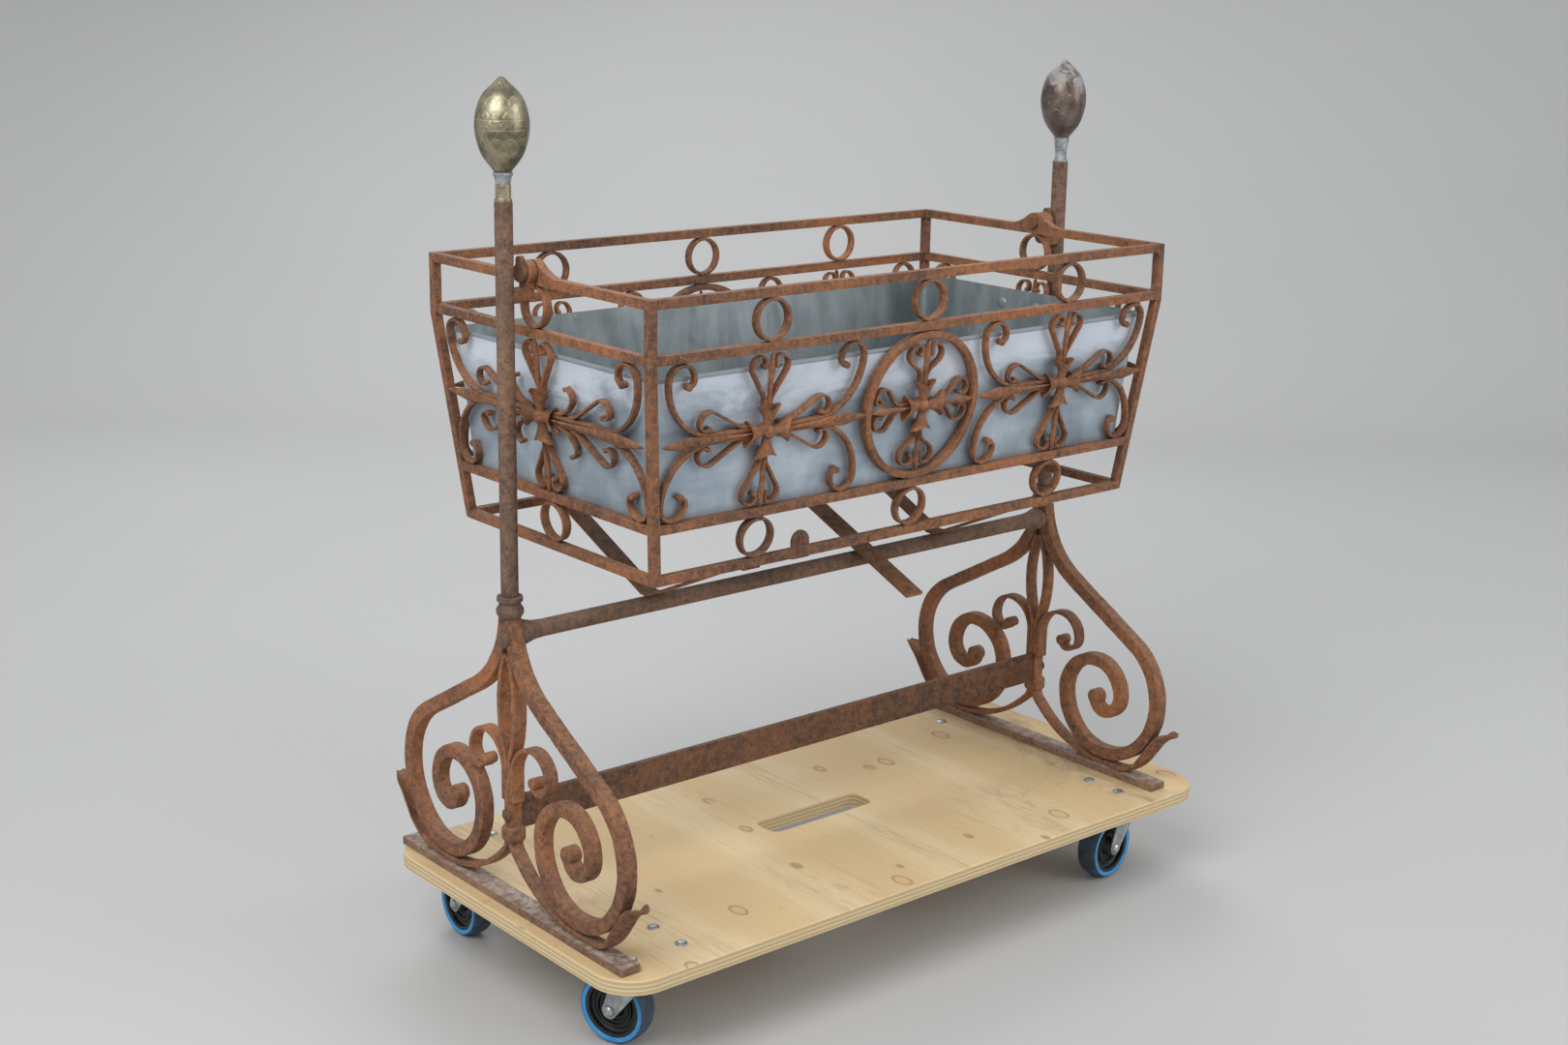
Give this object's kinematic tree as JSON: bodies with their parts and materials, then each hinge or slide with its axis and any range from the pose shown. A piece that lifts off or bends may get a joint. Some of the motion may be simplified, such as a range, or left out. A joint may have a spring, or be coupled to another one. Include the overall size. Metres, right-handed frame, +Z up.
{
  "type": "plant pot caddy",
  "caption": "Plywood board on swivel castors that carries a wrought iron stand with a swinging planter cradle and a lift-out zinc liner.",
  "frame": {"origin": "on the floor, at the middle of the board's length and on the centre line of the iron stand's width", "axes": "+X along the board's long side, +Y from the front to the back, +Z up"},
  "size_m": [1.119, 0.6132, 1.2365],
  "materials": {
    "birch_plywood": "bare sanded plywood with visible plies",
    "zinc_plated": "zinc plated, slightly dull",
    "rusty_iron": "rusted wrought iron, rough",
    "dark_iron": "dark rusted iron, rough",
    "aged_brass": "aged brass with engraving",
    "worn_metal": "dark worn metal, satin",
    "aged_zinc": "aged zinc with white bloom",
    "elastic_tyre": "elastic rubber, worn on its tread",
    "black_plastic": "matt black moulded plastic"
  },
  "bodies": {
    "platform": {"plywood_deck": "birch_plywood", "deck_bolts": "zinc_plated", "deck_nuts": "zinc_plated", "castor_plates": "zinc_plated", "swivel_bearings": "zinc_plated", "foot_bars": "rusty_iron", "end_collars": "rusty_iron", "end_screws": "dark_iron", "leg_rivets": "rusty_iron", "upper_stretcher": "rusty_iron", "lower_stretcher": "rusty_iron", "post_left": "rusty_iron", "post_right": "rusty_iron", "post_rings": "rusty_iron", "pivot_brackets": "rusty_iron", "ferrule_left": "aged_brass", "finial_cup_left": "aged_brass", "finial_cup_right": "aged_zinc", "finial_left": "aged_brass", "finial_right": "worn_metal", "scroll_legs_left": "rusty_iron", "leaf_bars_left": "rusty_iron", "small_scrolls_left": "rusty_iron", "scroll_legs_right": "rusty_iron", "leaf_bars_right": "rusty_iron", "small_scrolls_right": "rusty_iron"},
    "cradle": {"top_rails": "rusty_iron", "upper_rails": "rusty_iron", "lower_rails": "rusty_iron", "bottom_rails": "rusty_iron", "corner_bars": "rusty_iron", "top_rings": "rusty_iron", "bottom_rings": "rusty_iron", "circle_rings": "rusty_iron", "panel_scrolls": "rusty_iron", "heart_scrolls": "rusty_iron", "spear_leaves": "rusty_iron", "bosses": "rusty_iron", "cradle_straps": "rusty_iron", "loose_strap": "rusty_iron", "strap_lug": "rusty_iron", "pivot_pins": "dark_iron"},
    "liner": {"zinc_liner": "aged_zinc", "liner_rivets": "aged_zinc"},
    "swivel_front_left": {"fork_front_left": "zinc_plated", "axle_front_left": "zinc_plated"},
    "wheel_front_left": {"hub_front_left": "black_plastic", "tyre_front_left": "elastic_tyre"},
    "swivel_front_right": {"fork_front_right": "zinc_plated", "axle_front_right": "zinc_plated"},
    "wheel_front_right": {"hub_front_right": "black_plastic", "tyre_front_right": "elastic_tyre"},
    "swivel_back_left": {"fork_back_left": "zinc_plated", "axle_back_left": "zinc_plated"},
    "wheel_back_left": {"hub_back_left": "black_plastic", "tyre_back_left": "elastic_tyre"},
    "swivel_back_right": {"fork_back_right": "zinc_plated", "axle_back_right": "zinc_plated"},
    "wheel_back_right": {"hub_back_right": "black_plastic", "tyre_back_right": "elastic_tyre"}
  },
  "joints": [
    {"name": "swivel_front_left_turn", "type": "hinge", "parent": "platform", "child": "swivel_front_left", "pos_m": [-0.4625, -0.203, 0.125], "axis": [0, 0, 1], "continuous": true},
    {"name": "wheel_front_left_roll", "type": "hinge", "parent": "swivel_front_left", "child": "wheel_front_left", "pos_m": [-0.4771, -0.16792, 0.05], "axis": [-0.9232, -0.3843, 0], "continuous": true},
    {"name": "swivel_front_right_turn", "type": "hinge", "parent": "platform", "child": "swivel_front_right", "pos_m": [0.4625, -0.203, 0.125], "axis": [0, 0, 1], "continuous": true},
    {"name": "wheel_front_right_roll", "type": "hinge", "parent": "swivel_front_right", "child": "wheel_front_right", "pos_m": [0.42482, -0.20789, 0.05], "axis": [0.1288, -0.9917, 0], "continuous": true},
    {"name": "swivel_back_left_turn", "type": "hinge", "parent": "platform", "child": "swivel_back_left", "pos_m": [-0.4625, 0.187, 0.125], "axis": [0, 0, 1], "continuous": true},
    {"name": "wheel_back_left_roll", "type": "hinge", "parent": "swivel_back_left", "child": "wheel_back_left", "pos_m": [-0.46131, 0.22498, 0.05], "axis": [-0.9995, 0.0314, 0], "continuous": true},
    {"name": "swivel_back_right_turn", "type": "hinge", "parent": "platform", "child": "swivel_back_right", "pos_m": [0.4625, 0.187, 0.125], "axis": [0, 0, 1], "continuous": true},
    {"name": "wheel_back_right_roll", "type": "hinge", "parent": "swivel_back_right", "child": "wheel_back_right", "pos_m": [0.43339, 0.21143, 0.05], "axis": [-0.6428, -0.766, 0], "continuous": true},
    {"name": "cradle_swing", "type": "hinge", "parent": "platform", "child": "cradle", "pos_m": [0, 0, 0.9945], "axis": [1, 0, 0], "range_deg": [-60, 1.5]},
    {"name": "liner_lift", "type": "slide", "parent": "cradle", "child": "liner", "axis": [0, 0, 1], "range_m": [0, 0.35]}
  ]
}
